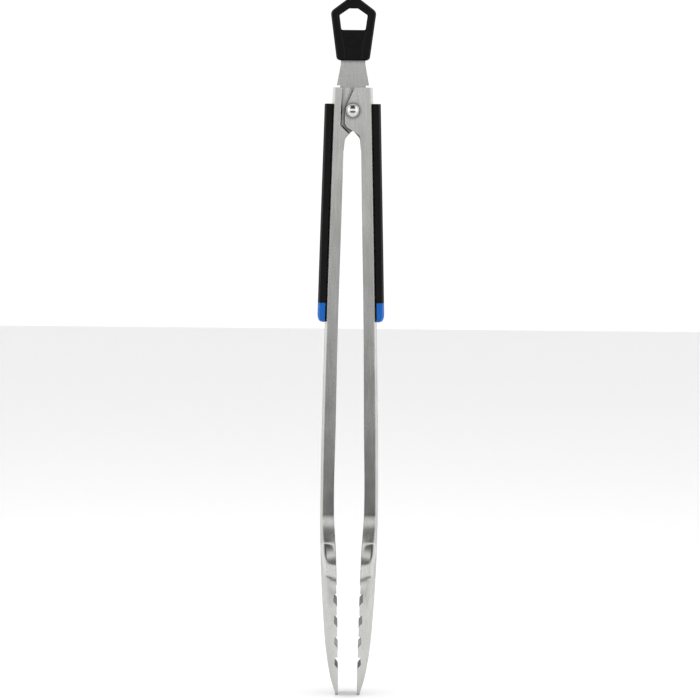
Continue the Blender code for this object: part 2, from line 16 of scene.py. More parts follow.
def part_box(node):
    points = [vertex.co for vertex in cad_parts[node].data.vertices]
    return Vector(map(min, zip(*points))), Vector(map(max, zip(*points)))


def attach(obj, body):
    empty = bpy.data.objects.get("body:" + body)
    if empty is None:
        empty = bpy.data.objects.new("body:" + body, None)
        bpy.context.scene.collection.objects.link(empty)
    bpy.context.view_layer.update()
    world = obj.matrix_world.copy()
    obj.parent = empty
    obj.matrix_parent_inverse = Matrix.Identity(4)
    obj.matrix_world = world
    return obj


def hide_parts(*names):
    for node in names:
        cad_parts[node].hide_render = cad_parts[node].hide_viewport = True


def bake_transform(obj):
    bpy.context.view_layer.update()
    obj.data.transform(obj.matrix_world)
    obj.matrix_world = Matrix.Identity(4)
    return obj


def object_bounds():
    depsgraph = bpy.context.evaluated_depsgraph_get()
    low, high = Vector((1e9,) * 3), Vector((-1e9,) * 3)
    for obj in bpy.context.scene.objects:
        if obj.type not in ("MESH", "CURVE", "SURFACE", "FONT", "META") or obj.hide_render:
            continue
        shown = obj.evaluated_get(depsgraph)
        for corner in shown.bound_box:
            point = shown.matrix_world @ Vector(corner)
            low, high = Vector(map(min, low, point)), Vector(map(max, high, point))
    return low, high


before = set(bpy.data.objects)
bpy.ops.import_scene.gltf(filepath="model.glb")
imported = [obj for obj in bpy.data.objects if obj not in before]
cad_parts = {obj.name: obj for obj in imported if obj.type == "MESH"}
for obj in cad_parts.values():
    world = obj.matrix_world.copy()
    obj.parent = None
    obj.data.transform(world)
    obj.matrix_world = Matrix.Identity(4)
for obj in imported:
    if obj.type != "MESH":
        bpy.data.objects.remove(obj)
cad_low, cad_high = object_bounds()

# Sizes --------------------------------------------------------------------------------------------

CLEARANCE = 0.0003
PIN_LOW, PIN_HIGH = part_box("pivot_pin")
PIVOT_Z = (PIN_LOW[2] + PIN_HIGH[2]) / 2
PIVOT_TO_TIP = PIVOT_Z - cad_low[2]
PIVOT_TO_HANG_FACE = -PIVOT_Z
TO_PIVOT = Matrix.Translation((0, 0, PIVOT_Z))

SHEET = 0.0010
HALF_CHANNEL = 0.0120
CHANNEL_BEND = 0.0022
INNER_BEND = 0.0003
ARM_TOP = 0.0149
BACK_AT_PIVOT = 0.01355
HALF_JAW = 0.0188
JAW_BEND = 0.0046
TIP_WIDTH = 0.0100
TIP_GAP = 0.0126
TIP_HOLLOW = 0.0007

EAR_REACH = 0.0050
EAR_SHOULDER = 0.0010
EAR_LOBE = -0.0100
JOGGLE_AT_TOP = 0.0067
JOGGLE_AT_KNEE = 0.0077
JOGGLE_RUN = 0.0013
JOGGLE_DEPTH = SHEET + CLEARANCE
EAR_KNEE = -0.0094
EAR_FOOT = -0.0240
ARCH_FOOT = -0.0262
JOGGLE_FOOT = -0.0190
EAR_OVERREACH = 0.0017

NOTCH_COUNT = 4
NOTCH_PITCH = 0.0143
NOTCH_TOP_FROM_TIP = 0.0697
NOTCH_LENGTH = 0.0080
NOTCH_DEPTH = 0.0022
NOTCH_WALL = 0.0052
NOTCH_UNDERCUT = 0.0005

PIN_RADIUS = 0.00275
PIN_HOLE = PIN_RADIUS + CLEARANCE
DOME_RADIUS = 0.00365
CAP_RADIUS = 0.0042
DOME_HEIGHT = 0.0020
WASHER_RADIUS = 0.0044
WASHER_THICKNESS = 0.0007
SPACER_RADIUS = 0.0043
EAR_ROOM = HALF_CHANNEL - JOGGLE_DEPTH - SHEET

WIRE = 0.0016
COIL_RADIUS = 0.0060
COIL_TURNS = 3
SPRING_LEG = 0.0310
LEG_GAP = 0.0006

PLATE_THICKNESS = 0.0018
PLATE_SIDE = PLATE_THICKNESS / 2 + CLEARANCE
PLATE_SHOULDER = 0.0106
PLATE_TANG = 0.0080
TANG_FOOT = 0.0300
PLATE_NECK = 0.0084
PLATE_TOP_FROM_HOLE = 0.0045
PLATE_FOOT = 0.0050
SHOULDER_HEIGHT = 0.0160
SHOULDER_RISE = 0.0004
TAB_TRAVEL = 0.0080

LOOP_THICKNESS = 0.0086
LOOP_BAR = 0.0058
LOOP_TOP = 0.0044
LOOP_SHOULDER = 0.0149
LOOP_SHOULDER_DROP = 0.0021
LOOP_FOOT = 0.0107
LOOP_LENGTH = 0.0394
HOLE_LENGTH = 0.0139
HOLE_SHOULDER = 0.0091
HOLE_SHOULDER_DROP = 0.0043
HOLE_FOOT = 0.0078
HANG_FLAT = 0.0028

GRIP_TOP = 0.0043
GRIP_LENGTH = 0.1417
GRIP_END_LENGTH = 0.0126
GRIP_HEIGHT = 0.0050
GRIP_LAP = 0.0002
CAP_LAP = 0.0
GRIP_WALL = 0.0010
GRIP_EDGE_HIGH = 0.0014  # the outer edge's chamfer, across and down its sides
GRIP_EDGE_WIDE = 0.0020
HALF_GRIP = HALF_CHANNEL + CLEARANCE + GRIP_WALL
GRIP_CROWN = 0.0001
TONGUE_HEIGHT = 0.0011
END_WALL = 0.0005
END_FALL = 0.0052  # the rounded corner's height, and how far it turns in
END_DROP = 0.0026
RIVET_RADIUS = 0.0016
RIVET_HEAD_RADIUS = 0.0030
RIVET_HEAD = 0.0008
RIVET_DROPS = (0.0450, 0.1150)


def from_tip(height):
    return height - PIVOT_TO_TIP


def through(stations, height):
    """A smooth curve through (height, value) stations listed from the top down."""
    if height >= stations[0][0]:
        return stations[0][1]
    for k in range(len(stations) - 1):
        (top, above), (bottom, below) = stations[k], stations[k + 1]
        if height < bottom:
            continue
        span = top - bottom
        chord = (above - below) / span

        def slope(i, j):
            if i < 0 or j >= len(stations):
                return chord
            return (stations[i][1] - stations[j][1]) / (stations[i][0] - stations[j][0])

        slope_below = (chord + slope(k + 1, k + 2)) / 2
        slope_above = (chord + slope(k - 1, k)) / 2
        t = (height - bottom) / span
        ease = t * t * (3 - 2 * t)
        bend_below = slope_below * span * t * (1 - t) ** 2
        bend_above = slope_above * span * t * t * (1 - t)
        return below + (above - below) * ease + bend_below - bend_above
    return stations[-1][1]


BACK = [
    (ARM_TOP, BACK_AT_PIVOT - 0.00055),
    (-0.1395, BACK_AT_PIVOT + 0.00345),
    (from_tip(0.1638), BACK_AT_PIVOT + 0.00500),
    (from_tip(0.1165), BACK_AT_PIVOT + 0.00530),
    (from_tip(0.0937), BACK_AT_PIVOT + 0.00485),
    (from_tip(0.0580), BACK_AT_PIVOT + 0.00305),
    (from_tip(0.0316), BACK_AT_PIVOT + 0.00090),
    (from_tip(0.0115), 0.0111),
    (from_tip(0.0020), 0.0084),
    (from_tip(0.0), TIP_GAP / 2 + SHEET + TIP_HOLLOW),
]
RIM = [
    (-0.0260, 0.0058),
    (-0.0690, 0.0067),
    (-0.1426, 0.00845),
    (from_tip(0.1797), 0.00930),
    (from_tip(0.1165), 0.00990),
    (from_tip(0.0937), 0.00850),
    (from_tip(0.0713), 0.00780),
    (from_tip(0.0316), 0.00670),
    (from_tip(0.0), TIP_GAP / 2),
]
# Half the width across the flanges, beside the bend and at the rim: a raised band, a flat, the
# flare of the scoop, a crease and the scoop's walls. The flare is steepest further down at the rim.
BAND = [
    (from_tip(0.1225), HALF_CHANNEL),
    (from_tip(0.1200), HALF_CHANNEL),
    (from_tip(0.1135), HALF_CHANNEL + 0.00050),
    (from_tip(0.1115), HALF_CHANNEL + 0.00055),
    (from_tip(0.1050), HALF_CHANNEL + 0.00055),
]
JAW_WALL = [
    (from_tip(0.0746), 0.0184),
    (from_tip(0.0580), HALF_JAW - 0.0011),
    (from_tip(0.0386), HALF_JAW - 0.0026),
    (from_tip(0.0180), HALF_JAW - 0.0067),
    (from_tip(0.0055), TIP_WIDTH / 2 + 0.0030),
    (from_tip(0.0), TIP_WIDTH / 2),
]
HALF_WIDTH_BY_BEND = [
    *BAND,
    (from_tip(0.1024), HALF_CHANNEL + 0.00055),
    (from_tip(0.1016), 0.01275),
    (from_tip(0.0952), 0.01615),
    (from_tip(0.0943), 0.01650),
    (from_tip(0.0832), 0.01855),
    (from_tip(0.0812), HALF_JAW - 0.00005),
    (from_tip(0.0790), 0.01865),
    *JAW_WALL,
]
HALF_WIDTH_AT_RIM = [
    *BAND,
    (from_tip(0.1025), 0.01265),
    (from_tip(0.1000), 0.0129),
    (from_tip(0.0960), 0.0136),
    (from_tip(0.0938), 0.0145),
    (from_tip(0.0918), 0.0160),
    (from_tip(0.0900), 0.0171),
    (from_tip(0.0888), 0.0175),
    (from_tip(0.0839), 0.0182),
    (from_tip(0.0800), 0.01875),
    (from_tip(0.0786), HALF_JAW),
    (from_tip(0.0765), 0.0187),
    (from_tip(0.0730), 0.0184),
    *JAW_WALL,
]
BEND = [
    (from_tip(0.1160), CHANNEL_BEND),
    (from_tip(0.0795), JAW_BEND),
    (from_tip(0.0316), JAW_BEND * 0.9),
    (from_tip(0.0), SHEET * 0.8),
]

# Materials ----------------------------------------------------------------------------------------


class Recipe:
    """A material's node tree, with short calls for the nodes that these finishes use."""

    def __init__(self, name):
        self.material = bpy.data.materials.new(name)
        self.material.use_nodes = True
        self.tree = self.material.node_tree
        self.shader = self.tree.nodes["Principled BSDF"]
        self.place = self.tree.nodes.new("ShaderNodeTexCoord").outputs["Object"]

    def set(self, **values):
        for name, value in values.items():
            self.shader.inputs[name.replace("_", " ")].default_value = value
        return self

    def link(self, out, socket):
        self.tree.links.new(out, socket)

    def stretched(self, scale):
        """Object coordinates, scaled along each axis."""
        node = self.tree.nodes.new("ShaderNodeMapping")
        node.inputs["Scale"].default_value = scale
        self.link(self.place, node.inputs["Vector"])
        return node.outputs["Vector"]

    def noise(self, vector, scale, detail=3.0, rough=0.55):
        node = self.tree.nodes.new("ShaderNodeTexNoise")
        node.inputs["Scale"].default_value = scale
        node.inputs["Detail"].default_value = detail
        node.inputs["Roughness"].default_value = rough
        self.link(vector, node.inputs["Vector"])
        return node.outputs["Fac"]

    def ramp(self, value, *stops):
        """A colour ramp through (position, colour) stops."""
        node = self.tree.nodes.new("ShaderNodeValToRGB")
        elements = node.color_ramp.elements
        while len(elements) < len(stops):
            elements.new(0.5)
        for element, (position, colour) in zip(elements, stops):
            element.position = position
            element.color = (*colour, 1.0)
        self.link(value, node.inputs["Fac"])
        return node.outputs["Color"]

    def between(self, value, low, high):
        """The value's range from 0.3 to 0.7 spread over low to high."""
        node = self.tree.nodes.new("ShaderNodeMapRange")
        node.inputs["From Min"].default_value = 0.3
        node.inputs["From Max"].default_value = 0.7
        node.inputs["To Min"].default_value = low
        node.inputs["To Max"].default_value = high
        self.link(value, node.inputs["Value"])
        return node.outputs["Result"]

    def multiply(self, a, b):
        node = self.tree.nodes.new("ShaderNodeMix")
        node.data_type = "RGBA"
        node.blend_type = "MULTIPLY"
        node.inputs[0].default_value = 1.0
        self.link(a, node.inputs[6])
        self.link(b, node.inputs[7])
        return node.outputs[2]

    def add(self, a, b):
        return self.math("ADD", a, b)

    def bump(self, height, distance, strength=1.0):
        node = self.tree.nodes.new("ShaderNodeBump")
        node.inputs["Distance"].default_value = distance
        node.inputs["Strength"].default_value = strength
        self.link(height, node.inputs["Height"])
        self.link(node.outputs["Normal"], self.shader.inputs["Normal"])

    def within(self, value, full, none):
        """1 where the value is at full, falling to 0 where it is at none."""
        node = self.tree.nodes.new("ShaderNodeMapRange")
        node.inputs["From Min"].default_value = none
        node.inputs["From Max"].default_value = full
        self.link(value, node.inputs["Value"])
        return node.outputs["Result"]

    def math(self, operation, *values):
        node = self.tree.nodes.new("ShaderNodeMath")
        node.operation = operation
        for socket, value in zip(node.inputs, values):
            if isinstance(value, (int, float)):
                socket.default_value = value
            else:
                self.link(value, socket)
        return node.outputs[0]

    def painted_crevice_shade(self, colour, reach, exponent):
        """The colour with painted shade: darkened by ambient occlusion where other surfaces crowd in
        within reach.
        """
        node = self.tree.nodes.new("ShaderNodeAmbientOcclusion")
        node.samples = 8
        node.inputs["Distance"].default_value = reach
        self.link(colour, node.inputs["Color"])
        return self.multiply(colour, self.math("POWER", node.outputs["AO"], exponent))

    def tangent(self, axis):
        node = self.tree.nodes.new("ShaderNodeTangent")
        node.direction_type = "RADIAL"
        node.axis = axis
        self.link(node.outputs["Tangent"], self.shader.inputs["Tangent"])


def grey(value):
    return (value, value, value * 0.985)


def brushed_steel(name="arm_steel_brushed", tone=0.55):
    """Sheet steel brushed along its length: long fine streaks, with soft cloudy wear and painted shade
    where parts crowd in.
    """
    recipe = Recipe(name).set(Metallic=1.0, Anisotropic=0.82)
    streaks = recipe.noise(recipe.stretched((1.0, 1.0, 0.018)), 4200.0, 4.0)
    grain = recipe.noise(recipe.stretched((1.0, 1.0, 0.05)), 1500.0, 3.0)
    clouds = recipe.noise(recipe.stretched((1.0, 1.0, 0.45)), 70.0, 4.0)
    fine = recipe.ramp(streaks, (0.32, grey(tone * 0.86)), (0.68, grey(tone * 1.10)))
    worn = recipe.ramp(clouds, (0.30, grey(0.90)), (0.70, grey(1.04)))
    # Painted shade: the colour is darkened by ambient occlusion, gently everywhere and far more over the
    # ears, to paint the shadows beside the ears' edges and under the plate.
    split = recipe.tree.nodes.new("ShaderNodeSeparateXYZ")
    recipe.link(recipe.place, split.inputs[0])
    aside = recipe.math("ABSOLUTE", split.outputs["X"])
    ear_shade_mask = recipe.math(
        "MULTIPLY",
        recipe.within(aside, 0.0080, 0.0100),
        recipe.within(split.outputs["Z"], PIVOT_Z - 0.0200, PIVOT_Z - 0.0240),
    )
    shade_exponent = recipe.math("MULTIPLY_ADD", ear_shade_mask, 2.8, 0.35)
    tone = recipe.painted_crevice_shade(recipe.multiply(fine, worn), 0.0028, shade_exponent)
    recipe.link(tone, recipe.shader.inputs["Base Color"])
    recipe.link(recipe.between(clouds, 0.22, 0.30), recipe.shader.inputs["Roughness"])
    recipe.bump(recipe.add(streaks, grain), 0.000004, 0.6)
    recipe.tangent("Z")
    return recipe.material


def plate_steel():
    """The lock plate's steel: ground flat, with streaks across and along it, and painted shade where parts
    crowd in.
    """
    recipe = Recipe("lock_plate_steel").set(Metallic=1.0, Anisotropic=0.4)
    along = recipe.noise(recipe.stretched((1.0, 1.0, 0.05)), 3000.0, 3.0)
    across = recipe.noise(recipe.stretched((0.08, 1.0, 1.0)), 1500.0, 3.0)
    clouds = recipe.noise(recipe.place, 160.0, 4.0)
    tone = recipe.ramp(along, (0.30, grey(0.45)), (0.70, grey(0.56)))
    worn = recipe.ramp(across, (0.30, grey(0.93)), (0.70, grey(1.03)))
    # Painted shade: the colour is darkened by ambient occlusion where other parts crowd in.
    tone = recipe.painted_crevice_shade(recipe.multiply(tone, worn), 0.0022, 1.2)
    recipe.link(tone, recipe.shader.inputs["Base Color"])
    recipe.link(recipe.between(clouds, 0.27, 0.36), recipe.shader.inputs["Roughness"])
    recipe.bump(recipe.add(along, across), 0.000003, 0.6)
    recipe.tangent("Z")
    return recipe.material


def turned_steel():
    """Polished, turned pieces: nearly a mirror, with faint rings about the pin's axis."""
    recipe = Recipe("turned_polished_steel").set(Metallic=1.0, Anisotropic=0.2)
    rings = recipe.noise(recipe.stretched((1.0, 6.0, 1.0)), 900.0, 2.0)
    specks = recipe.noise(recipe.place, 2600.0, 2.0)
    recipe.link(
        recipe.ramp(specks, (0.35, grey(0.66)), (0.65, grey(0.76))),
        recipe.shader.inputs["Base Color"],
    )
    recipe.link(recipe.between(rings, 0.07, 0.13), recipe.shader.inputs["Roughness"])
    recipe.bump(rings, 0.000002, 0.5)
    recipe.tangent("Y")
    return recipe.material


def spring_wire():
    """Drawn spring wire: grey, with fine lengthwise scratches and a dull film."""
    recipe = Recipe("drawn_spring_wire").set(Metallic=1.0)
    scratches = recipe.noise(recipe.stretched((0.25, 1.0, 0.25)), 5200.0, 3.0)
    film = recipe.noise(recipe.place, 420.0, 3.0)
    tone = recipe.ramp(scratches, (0.30, grey(0.40)), (0.70, grey(0.56)))
    dull = recipe.ramp(film, (0.35, grey(0.86)), (0.65, grey(1.0)))
    recipe.link(recipe.multiply(tone, dull), recipe.shader.inputs["Base Color"])
    recipe.link(recipe.between(film, 0.22, 0.36), recipe.shader.inputs["Roughness"])
    recipe.bump(scratches, 0.000003, 0.6)
    return recipe.material


def moulded_plastic(name, dark, light, low, high, grain=0.000012, gloss=0.14):
    """A moulding with a fine spark-eroded grain, and a soft unevenness of colour and gloss."""
    recipe = Recipe(name).set(IOR=1.49, Specular_IOR_Level=gloss)
    texture = recipe.noise(recipe.place, 5200.0, 3.0, 0.6)
    cloud = recipe.noise(recipe.place, 110.0, 3.0)
    halved = recipe.math("MULTIPLY", recipe.add(texture, cloud), 0.5)
    recipe.link(
        recipe.ramp(halved, (0.38, dark), (0.62, light)),
        recipe.shader.inputs["Base Color"],
    )
    recipe.link(recipe.between(cloud, low, high), recipe.shader.inputs["Roughness"])
    recipe.bump(texture, grain, 0.5)
    return recipe.material


ARM_STEEL = brushed_steel()
PLATE_STEEL = plate_steel()
TURNED_STEEL = turned_steel()
SPRING_WIRE = spring_wire()
GRIP_BLACK = moulded_plastic(
    "grip_black_plastic", (0.0030, 0.0030, 0.0032), (0.0052, 0.0052, 0.0055), 0.36, 0.46
)
LOOP_BLACK = moulded_plastic(
    "loop_black_plastic", (0.0022, 0.0022, 0.0024), (0.0040, 0.0040, 0.0042), 0.34, 0.44
)
CAP_BLUE = moulded_plastic(
    "grip_end_blue_plastic", (0.0, 0.105, 0.44), (0.002, 0.130, 0.53), 0.30, 0.40, 0.000008, 0.4
)
NYLON = moulded_plastic("spacer_nylon", (0.66, 0.64, 0.58), (0.76, 0.75, 0.70), 0.42, 0.55)

# Mesh helpers -------------------------------------------------------------------------------------


def shown(name, mesh, material, body, slot, *replaced):
    """A finished piece: its material, the body it rides on and the nodes it stands for."""
    mesh.name = name
    mesh.materials.clear()
    mesh.materials.append(material)
    made = bpy.data.objects.new(name, mesh)
    bpy.context.scene.collection.objects.link(made)
    if body:
        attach(made, body)
    if replaced:
        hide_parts(*replaced)
    return made


def helper(mesh):
    """An object that only carries a mesh through its modifiers."""
    made = bpy.data.objects.new("helper", mesh)
    bpy.context.scene.collection.objects.link(made)
    return made


def outward(work):
    """Merges doubles and turns the faces of a closed shape outwards."""
    bmesh.ops.remove_doubles(work, verts=work.verts, dist=0.000001)
    bmesh.ops.recalc_face_normals(work, faces=work.faces)
    if work.calc_volume(signed=True) < 0:
        bmesh.ops.reverse_faces(work, faces=work.faces)


def as_mesh(work, place=None):
    outward(work)
    if place:
        work.transform(place)
    mesh = bpy.data.meshes.new("shape")
    work.to_mesh(mesh)
    work.free()
    return mesh


def evaluated(made):
    """The object's mesh after its modifiers, in place of the object."""
    bpy.context.view_layer.update()
    graph = bpy.context.evaluated_depsgraph_get()
    mesh = bpy.data.meshes.new_from_object(made.evaluated_get(graph), depsgraph=graph)
    bpy.data.objects.remove(made)
    return mesh


def settled(made, place=None):
    """The object's evaluated mesh, merged and facing outwards."""
    work = bmesh.new()
    work.from_mesh(evaluated(made))
    return as_mesh(work, place)


def smooth(mesh, angle=32):
    """The mesh smooth shaded up to an angle, with its large faces kept flat."""
    mesh.shade_smooth()
    mesh.set_sharp_from_angle(angle=radians(angle))
    made = helper(mesh)
    weights = made.modifiers.new("normals", "WEIGHTED_NORMAL")
    weights.keep_sharp = True
    return evaluated(made)


def eased(mesh, width, segments=2, angle=40):
    """The mesh with its sharp edges rounded over."""
    made = helper(mesh)
    edge = made.modifiers.new("edges", "BEVEL")
    edge.width = width
    edge.segments = segments
    edge.limit_method = "ANGLE"
    edge.angle_limit = radians(angle)
    edge.use_clamp_overlap = False
    edge.harden_normals = False
    return settled(made)


def cut(mesh, *cutters, operation="DIFFERENCE"):
    """The mesh with closed meshes cut from it or joined to it."""
    made = helper(mesh)
    tools = [helper(cutter) for cutter in cutters]
    for tool in tools:
        boolean = made.modifiers.new("cut", "BOOLEAN")
        boolean.object = tool
        boolean.operation = operation
    result = settled(made)
    for tool in tools:
        bpy.data.objects.remove(tool)
    return result


def rounded(corners, steps=6):
    """An outline whose (x, z, radius) corners are rounded by arcs."""
    points = []
    for k, (x, z, radius) in enumerate(corners):
        here = Vector((x, z))
        if not radius:
            points.append(here)
            continue
        to_last = (Vector(corners[k - 1][:2]) - here).normalized()
        to_next = (Vector(corners[(k + 1) % len(corners)][:2]) - here).normalized()
        half = to_last.angle(to_next) / 2
        centre = here + (to_last + to_next).normalized() * radius / sin(half)
        start = here + to_last * radius / tan(half) - centre
        end = here + to_next * radius / tan(half) - centre
        first = atan2(start.y, start.x)
        sweep = (atan2(end.y, end.x) - first + pi) % (2 * pi) - pi
        for step in range(steps + 1):
            angle = first + sweep * step / steps
            points.append(centre + Vector((cos(angle), sin(angle))) * radius)
    return points


def mirrored(half):
    """A closed outline from the corners on its +X side, listed from the top down."""
    return [*half, *[(-x, z, radius) for x, z, radius in reversed(half)]]


def inset(outline, distance):
    """A closed outline moved inwards by a distance, corner by corner."""
    area = sum(a.x * b.y - b.x * a.y for a, b in zip(outline, outline[1:] + outline[:1]))
    turn = 1 if area > 0 else -1
    moved = []
    for k, here in enumerate(outline):
        before = (here - outline[k - 1]).normalized()
        after = (outline[(k + 1) % len(outline)] - here).normalized()
        left = Vector((-before.y, before.x)) * turn
        next_left = Vector((-after.y, after.x)) * turn
        mid = (left + next_left).normalized()
        moved.append(here + mid * distance / max(mid.dot(left), 0.4))
    return moved


def sections_mesh(sections, place=None):
    """A closed solid through closed sections of equal length, capped at both ends."""
    work = bmesh.new()
    rows = [[work.verts.new(point) for point in section] for section in sections]
    count = len(rows[0])
    for upper, lower in zip(rows, rows[1:]):
        for k in range(count):
            n = (k + 1) % count
            work.faces.new((upper[k], lower[k], lower[n], upper[n]))
    work.faces.new(rows[0])
    work.faces.new(rows[-1])
    return as_mesh(work, place)


def slab(outline, low, high):
    """A flat piece: an outline in the X-Z plane between two places along Y."""
    return sections_mesh([[(p.x, y, p.y) for p in outline] for y in (low, high)])


def turned(profile, sides=64):
    """A closed piece turned about the pin's axis from a profile of (radius, y) points."""
    work = bmesh.new()
    points = [work.verts.new((radius, y, 0.0)) for radius, y in profile]
    edges = [work.edges.new(pair) for pair in zip(points, points[1:])]
    if profile[0][0] > 0:
        edges.append(work.edges.new((points[-1], points[0])))
    bmesh.ops.spin(
        work,
        geom=points + edges,
        cent=(0, 0, 0),
        axis=(0, 1, 0),
        angle=2 * pi,
        steps=sides,
        use_merge=True,
    )
    return smooth(as_mesh(work, TO_PIVOT))


def on_side(side):
    """Where a piece built about the pivot on the +X side goes for one arm."""
    turn = Matrix.Rotation(pi, 4, "Z") if side == "left" else Matrix.Identity(4)
    return TO_PIVOT @ turn


def for_both(build):
    """The mesh that build() makes about the pivot, once for each arm."""
    mesh = build()
    for side in ("right", "left"):
        copy = mesh.copy()
        copy.transform(on_side(side))
        yield side, copy


# Geometry Nodes -----------------------------------------------------------------------------------


class NodeRecipe:
    """A Geometry Nodes tree with named inputs, run once on an object and then applied."""

    def __init__(self, name, **inputs):
        self.tree = bpy.data.node_groups.new(name, "GeometryNodeTree")
        face = self.tree.interface
        face.new_socket("Geometry", in_out="INPUT", socket_type="NodeSocketGeometry")
        self.names = {}
        for label, kind in inputs.items():
            made = face.new_socket(label, in_out="INPUT", socket_type=f"NodeSocket{kind}")
            self.names[label] = made.identifier
        face.new_socket("Geometry", in_out="OUTPUT", socket_type="NodeSocketGeometry")
        self.given = self.tree.nodes.new("NodeGroupInput").outputs
        self.result = self.tree.nodes.new("NodeGroupOutput").inputs[0]

    def node(self, kind, **links):
        made = self.tree.nodes.new(kind)
        for name, out in links.items():
            socket = made.inputs[name.replace("_", " ")]
            if isinstance(out, (int, float, bool)):
                socket.default_value = out
            else:
                self.tree.links.new(out, socket)
        return made

    def finish(self, geometry):
        """Ends the tree in Realize Instances and Set Material."""
        real = self.node("GeometryNodeRealizeInstances", Geometry=geometry)
        coated = self.node("GeometryNodeSetMaterial", Geometry=real.outputs[0])
        self.tree.links.new(self.given["Material"], coated.inputs["Material"])
        self.tree.links.new(coated.outputs[0], self.result)

    def run(self, data, **values):
        """The tree's result on a curve or mesh, as a plain mesh."""
        made = helper(data)
        modifier = made.modifiers.new("nodes", "NODES")
        modifier.node_group = self.tree
        for label, value in values.items():
            modifier[self.names[label]] = value
        return evaluated(made)


def wire_recipe():
    """Round wire along a curve, with closed ends."""
    recipe = NodeRecipe("wire_along_path", Radius="Float", Sides="Int", Material="Material")
    ring = recipe.node(
        "GeometryNodeCurvePrimitiveCircle",
        Radius=recipe.given["Radius"],
        Resolution=recipe.given["Sides"],
    )
    wire = recipe.node("GeometryNodeCurveToMesh", Curve=recipe.given["Geometry"], Fill_Caps=True)
    recipe.tree.links.new(ring.outputs[0], wire.inputs["Profile Curve"])
    recipe.finish(wire.outputs[0])
    return recipe


def rivet_recipe():
    """A rivet on each point of a mesh, copied from another object."""
    recipe = NodeRecipe("rivets_on_points", Rivet="Object", Material="Material")
    shape = recipe.node("GeometryNodeObjectInfo", Object=recipe.given["Rivet"])
    spread = recipe.node(
        "GeometryNodeInstanceOnPoints",
        Points=recipe.given["Geometry"],
        Instance=shape.outputs["Geometry"],
    )
    recipe.finish(spread.outputs[0])
    return recipe


# Arms ---------------------------------------------------------------------------------------------


def spaced(start, stop, step):
    """Heights from start down to stop, no further apart than step."""
    count = max(1, round((start - stop) / step))
    return [start + (stop - start) * k / count for k in range(count)]


ARM_HEIGHTS = [
    *spaced(ARM_TOP, EAR_KNEE, 0.0030),
    *spaced(EAR_KNEE, JOGGLE_FOOT, 0.0009),
    *[JOGGLE_FOOT, EAR_FOOT],
    *spaced(RIM[0][0], from_tip(0.1250), 0.0045),
    *spaced(from_tip(0.1250), from_tip(0.0740), 0.0006),
    *spaced(from_tip(0.0740), from_tip(0.0200), 0.0016),
    *spaced(from_tip(0.0200), from_tip(0.0), 0.0008),
    from_tip(0.0),
]
FLANGE_STEPS = 9
ARC_STEPS = 10


def joggle_line(height):
    """How far from the centre plane the joggle runs."""
    if height >= EAR_KNEE:
        share = (height - EAR_KNEE) / (ARM_TOP - EAR_KNEE)
        return JOGGLE_AT_KNEE + (JOGGLE_AT_TOP - JOGGLE_AT_KNEE) * share
    return JOGGLE_AT_KNEE - (EAR_KNEE - height)


def ease(t):
    t = min(max(t, 0.0), 1.0)
    return t * t * (3 - 2 * t)


def half_width_at(height, share):
    """Half the width across the flanges, from the bend (share 0) to the rim (share 1)."""
    by_bend = through(HALF_WIDTH_BY_BEND, height)
    return by_bend + (through(HALF_WIDTH_AT_RIM, height) - by_bend) * share


def arm_section(height):
    """A closed section across the arm: its outer line from front to rear, and its inner line back."""
    back = through(BACK, height)
    ear_shade_mask = height >= EAR_FOOT
    rim = -EAR_REACH - EAR_OVERREACH if ear_shade_mask else through(RIM, height)
    joggled = height >= JOGGLE_FOOT
    arc = [(sin(a), cos(a)) for a in (pi / 2 * k / ARC_STEPS for k in range(ARC_STEPS + 1))]
    section = []
    for inside in (0.0, SHEET):
        bend = max(min(through(BEND, height), (back - rim) / 2) - inside, INNER_BEND)
        bend_x = back - inside - bend
        line = joggle_line(height)
        stops = [rim + (bend_x - rim) * k / FLANGE_STEPS for k in range(FLANGE_STEPS)]
        if joggled:
            crossing = [line + JOGGLE_RUN * (k / 6 - 0.5) for k in range(7)]
            beyond = line + JOGGLE_RUN / 2 + (bend_x - line - JOGGLE_RUN / 2) / 2
            stops = [rim, *crossing, beyond]

        def flange(x, sign):
            share = (bend_x - x) / (bend_x - rim)
            side = half_width_at(height, share) - inside
            if joggled and sign > 0:
                side -= JOGGLE_DEPTH * ease((line + JOGGLE_RUN / 2 - x) / JOGGLE_RUN)
            return (x, sign * side, height)

        centre = half_width_at(height, 0.0) - inside - bend
        front = [(bend_x + bend * s, -centre - bend * c, height) for s, c in arc]
        rear = [(bend_x + bend * s, centre + bend * c, height) for s, c in reversed(arc)]
        outline = [flange(x, -1) for x in stops] + front + rear
        outline += [flange(x, 1) for x in reversed(stops)]
        section += outline if inside == 0.0 else reversed(outline)
    return section


def ear_outline(top_x, lobe):
    """What is cut away beside an ear: its slanted edge, its lobe and the arch below."""
    away = -EAR_REACH - 0.015
    above = ARM_TOP + 0.002
    return rounded(
        [
            (away, above, 0),
            (top_x, above, 0),
            (-EAR_REACH, EAR_SHOULDER, 0.0040),
            (-EAR_REACH, EAR_LOBE, 0.0048),
            *lobe,
            (through(RIM, ARCH_FOOT) - 0.0002, ARCH_FOOT, 0),
            (away, ARCH_FOOT, 0),
        ],
        steps=9,
    )


